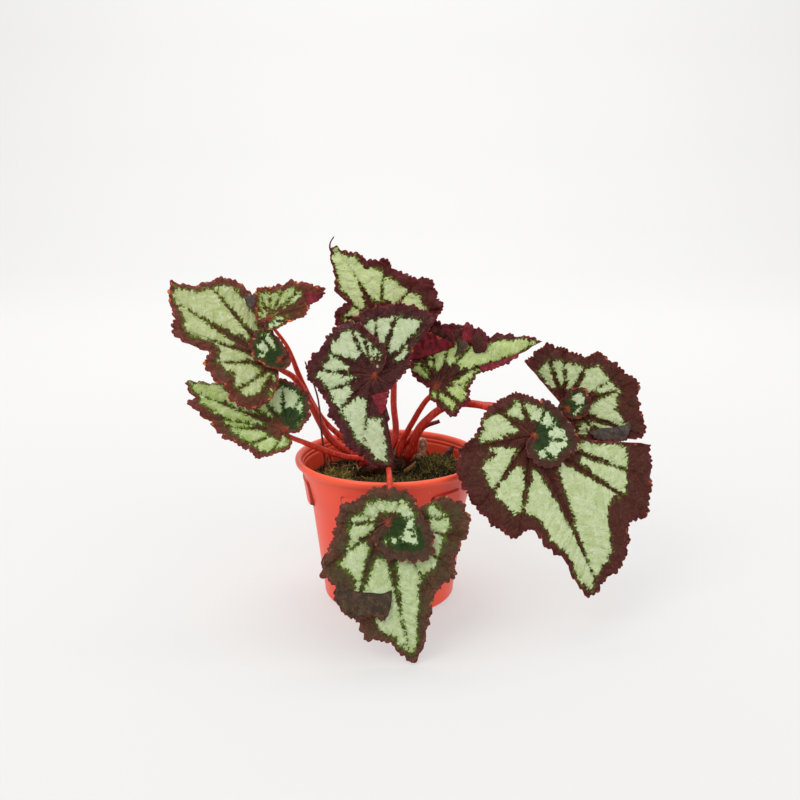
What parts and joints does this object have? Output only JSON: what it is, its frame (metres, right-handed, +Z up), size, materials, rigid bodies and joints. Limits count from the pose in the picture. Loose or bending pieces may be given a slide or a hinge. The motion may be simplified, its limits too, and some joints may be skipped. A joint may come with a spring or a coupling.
{
  "type": "potted rex begonia",
  "caption": "Rex begonia with spiral silver-green leaves edged in maroon on red stalks, growing in a small round moulded plastic nursery pot.",
  "frame": {"origin": "centre of the pot's flat underside, where it rests", "axes": "+Z up along the pot's axis; the plant's front, where the hanging leaf is, looks along -Y; +X is to the right seen from the front"},
  "size_m": [0.2981, 0.1589, 0.2259],
  "materials": {
    "pot_plastic": "satin, moulded",
    "mix": "rough, crumbly",
    "moss": "soft, matt",
    "rhizome": "matt",
    "bud": "satin",
    "stalk": "satin, fleshy",
    "dry_stalk": "dry, matt",
    "shoot": "satin",
    "stipule": "dry, papery",
    "leaf": "satin, puckered"
  },
  "bodies": {
    "root": {"pot": "pot_plastic", "potting_mix": "mix", "moss_left": "moss", "moss_front": "moss", "moss_right": "moss", "moss_back": "moss", "rhizome": "rhizome", "rhizome_bud": "bud", "cut_stalk": "stalk", "dry_flower_stalk": "dry_stalk", "dry_side_stalk": "dry_stalk", "young_shoot": "shoot", "dry_stipule": "stipule", "stalk_right_large": "stalk", "stalk_front_hanging": "stalk", "stalk_crown_front": "stalk", "stalk_crown_back": "stalk", "stalk_middle_right": "stalk", "stalk_far_right": "stalk", "stalk_left_high": "stalk", "stalk_left_small": "stalk", "stalk_left_low": "stalk", "leaf_right_large": "leaf", "leaf_front_hanging": "leaf", "leaf_crown_front": "leaf", "leaf_crown_back": "leaf", "leaf_middle_right": "leaf", "leaf_far_right": "leaf", "leaf_left_high": "leaf", "leaf_left_small": "leaf", "leaf_left_low": "leaf"}
  },
  "joints": []
}
